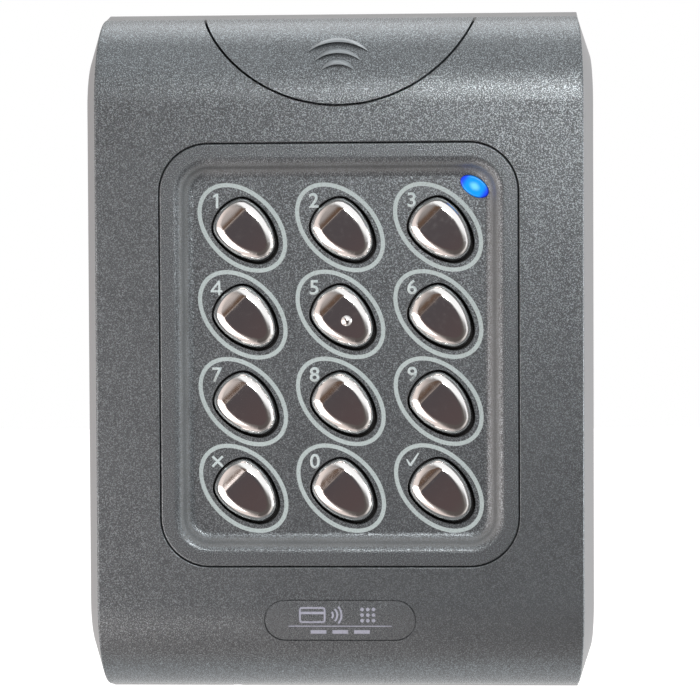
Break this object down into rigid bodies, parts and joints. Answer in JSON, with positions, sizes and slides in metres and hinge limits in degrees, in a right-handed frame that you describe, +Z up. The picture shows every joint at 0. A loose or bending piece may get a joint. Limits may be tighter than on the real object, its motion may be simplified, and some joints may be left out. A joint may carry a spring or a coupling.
{
  "type": "keypad access reader",
  "caption": "Wall-mounted access reader with a dished keypad of bright egg-shaped keys, a lit status lens, a rolled front cover and a snap-in screw cap.",
  "frame": {"origin": "centre of the back face, on the wall plane", "axes": "+Z up, +Y into the wall, so the front face looks along -Y, +X to the right seen from the front"},
  "size_m": [0.085, 0.024, 0.119],
  "materials": {
    "cover_plastic": "fine metallic grain, satin",
    "insert_plastic": "fine metallic grain, satin, printed rings and figures",
    "base_plastic": "fine moulded texture",
    "badge": "smooth satin with a pale print",
    "chrome": "polished",
    "status_lens": "clear blue, lit",
    "rubber": "moulded silicone, matt",
    "board": "green solder mask",
    "copper": "enamelled copper wire",
    "led_white": "moulded",
    "black_part": "moulded, satin",
    "terminal": "moulded",
    "can": "satin",
    "steel": "zinc plated",
    "brass": "turned"
  },
  "bodies": {
    "housing": {"front_cover": "cover_plastic", "name_badge": "badge", "keypad_bezel": "insert_plastic", "status_lens": "status_lens", "keypad_mat": "rubber", "mat_webs": "rubber", "circuit_board": "board", "antenna_coil": "copper", "status_led": "led_white", "buzzer": "black_part", "terminal_block": "terminal", "terminal_screws": "steel", "board_screws": "steel", "controller_chip": "black_part", "radio_chip": "black_part", "smoothing_capacitor": "can", "tamper_sensor": "black_part", "rear_base": "base_plastic", "cover_seal": "rubber", "cover_screw": "steel", "cover_insert": "brass", "cable_grommet": "rubber"},
    "cap": {"screw_cap": "cover_plastic"},
    "button_1": {"key_1": "chrome", "boss_1": "rubber"},
    "button_2": {"key_2": "chrome", "boss_2": "rubber"},
    "button_3": {"key_3": "chrome", "boss_3": "rubber"},
    "button_4": {"key_4": "chrome", "boss_4": "rubber"},
    "button_5": {"key_5": "chrome", "boss_5": "rubber"},
    "button_6": {"key_6": "chrome", "boss_6": "rubber"},
    "button_7": {"key_7": "chrome", "boss_7": "rubber"},
    "button_8": {"key_8": "chrome", "boss_8": "rubber"},
    "button_9": {"key_9": "chrome", "boss_9": "rubber"},
    "button_cancel": {"key_cancel": "chrome", "boss_cancel": "rubber"},
    "button_0": {"key_0": "chrome", "boss_0": "rubber"},
    "button_enter": {"key_enter": "chrome", "boss_enter": "rubber"}
  },
  "joints": [
    {"name": "cap_pull", "type": "slide", "parent": "housing", "child": "cap", "axis": [0, -1, 0], "range_m": [0, 0.012]},
    {"name": "press_1", "type": "slide", "parent": "housing", "child": "button_1", "axis": [0, 1, 0], "range_m": [0, 0.001], "stiffness_N_per_m": 1250, "deforming": ["mat_webs"]},
    {"name": "press_2", "type": "slide", "parent": "housing", "child": "button_2", "axis": [0, 1, 0], "range_m": [0, 0.001], "stiffness_N_per_m": 1250, "deforming": ["mat_webs"]},
    {"name": "press_3", "type": "slide", "parent": "housing", "child": "button_3", "axis": [0, 1, 0], "range_m": [0, 0.001], "stiffness_N_per_m": 1250, "deforming": ["mat_webs"]},
    {"name": "press_4", "type": "slide", "parent": "housing", "child": "button_4", "axis": [0, 1, 0], "range_m": [0, 0.001], "stiffness_N_per_m": 1250, "deforming": ["mat_webs"]},
    {"name": "press_5", "type": "slide", "parent": "housing", "child": "button_5", "axis": [0, 1, 0], "range_m": [0, 0.001], "stiffness_N_per_m": 1250, "deforming": ["mat_webs"]},
    {"name": "press_6", "type": "slide", "parent": "housing", "child": "button_6", "axis": [0, 1, 0], "range_m": [0, 0.001], "stiffness_N_per_m": 1250, "deforming": ["mat_webs"]},
    {"name": "press_7", "type": "slide", "parent": "housing", "child": "button_7", "axis": [0, 1, 0], "range_m": [0, 0.001], "stiffness_N_per_m": 1250, "deforming": ["mat_webs"]},
    {"name": "press_8", "type": "slide", "parent": "housing", "child": "button_8", "axis": [0, 1, 0], "range_m": [0, 0.001], "stiffness_N_per_m": 1250, "deforming": ["mat_webs"]},
    {"name": "press_9", "type": "slide", "parent": "housing", "child": "button_9", "axis": [0, 1, 0], "range_m": [0, 0.001], "stiffness_N_per_m": 1250, "deforming": ["mat_webs"]},
    {"name": "press_cancel", "type": "slide", "parent": "housing", "child": "button_cancel", "axis": [0, 1, 0], "range_m": [0, 0.001], "stiffness_N_per_m": 1250, "deforming": ["mat_webs"]},
    {"name": "press_0", "type": "slide", "parent": "housing", "child": "button_0", "axis": [0, 1, 0], "range_m": [0, 0.001], "stiffness_N_per_m": 1250, "deforming": ["mat_webs"]},
    {"name": "press_enter", "type": "slide", "parent": "housing", "child": "button_enter", "axis": [0, 1, 0], "range_m": [0, 0.001], "stiffness_N_per_m": 1250, "deforming": ["mat_webs"]}
  ]
}
